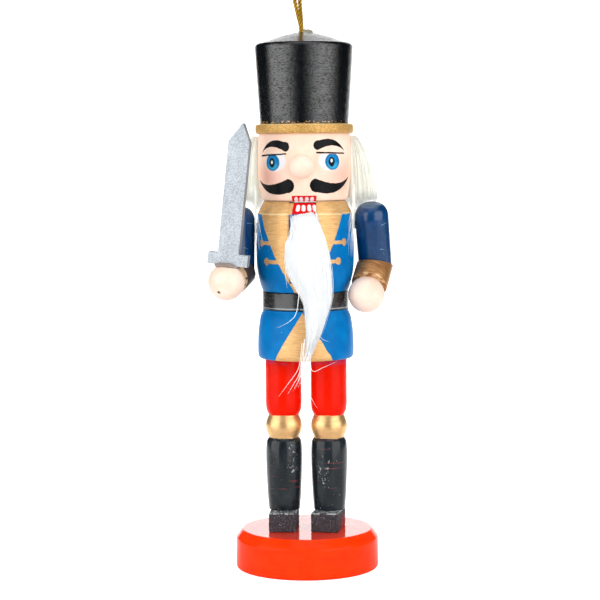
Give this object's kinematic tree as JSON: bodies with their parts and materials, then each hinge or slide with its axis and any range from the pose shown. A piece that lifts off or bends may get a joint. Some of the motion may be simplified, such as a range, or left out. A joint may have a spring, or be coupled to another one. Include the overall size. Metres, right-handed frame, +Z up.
{
  "type": "nutcracker soldier ornament",
  "caption": "Painted wooden nutcracker soldier on a round base, with a lever-worked jaw, turning arms, a sword, fur beard and hair, and a hanging cord loop.",
  "frame": {"origin": "centre of the round base's underside", "axes": "+Z up through the hat, -Y the way the face looks, +X towards the figure's left arm"},
  "size_m": [0.0422, 0.0337, 0.1657],
  "materials": {
    "red_paint": "glossy orange-red lacquer over turned wood",
    "shoe_paint": "rough black paint",
    "leg_paint": "satin charcoal boot, gold knee bead and red thigh on one turned dowel",
    "coat_paint": "satin blue paint with gold collar, lapels and hem",
    "sleeve_paint": "glossy navy paint",
    "gold_paint": "metallic gold paint",
    "silver_paint": "speckled silver paint",
    "hat_paint": "glossy black lacquer with turning marks",
    "skin_paint": "satin flesh paint",
    "belt_strip": "thin glossy black strip",
    "bare_wood": "unpainted",
    "steel_wire": "plain",
    "white_fur": "loose white fur",
    "cream_fur": "combed off-white fur",
    "gold_cord": "twisted metallic cord"
  },
  "bodies": {
    "figure": {"base_disc": "red_paint", "right_shoe": "shoe_paint", "left_shoe": "shoe_paint", "right_leg": "leg_paint", "left_leg": "leg_paint", "right_foot_dowel": "bare_wood", "left_foot_dowel": "bare_wood", "right_hip_dowel": "bare_wood", "left_hip_dowel": "bare_wood", "torso": "coat_paint", "waist_belt": "belt_strip", "jaw_pin": "steel_wire", "head": "skin_paint", "nose": "skin_paint", "wig": "cream_fur", "right_neck_dowel": "bare_wood", "left_neck_dowel": "bare_wood", "hat_brim": "gold_paint", "hat_crown": "hat_paint", "hat_dowel": "bare_wood", "hanging_cord": "gold_cord", "right_shoulder_pin": "sleeve_paint", "left_shoulder_pin": "sleeve_paint"},
    "jaw": {"jaw_lever": "coat_paint", "beard": "white_fur"},
    "right_arm": {"right_sleeve": "sleeve_paint", "right_cuff": "gold_paint", "right_hand": "skin_paint", "sword": "silver_paint"},
    "left_arm": {"left_sleeve": "sleeve_paint", "left_cuff": "gold_paint", "left_hand": "skin_paint"}
  },
  "joints": [
    {"name": "jaw", "type": "hinge", "parent": "figure", "child": "jaw", "pos_m": [0, 0, 0.07535], "axis": [1, 0, 0], "range_deg": [0, 15], "deforming": ["beard"]},
    {"name": "right_shoulder", "type": "hinge", "parent": "figure", "child": "right_arm", "pos_m": [-0.01566, 0, 0.07985], "axis": [-1, 0, 0], "range_deg": [-60, 20]},
    {"name": "left_shoulder", "type": "hinge", "parent": "figure", "child": "left_arm", "pos_m": [0.01566, 0, 0.08075], "axis": [-1, 0, 0], "range_deg": [-12, 100]}
  ]
}
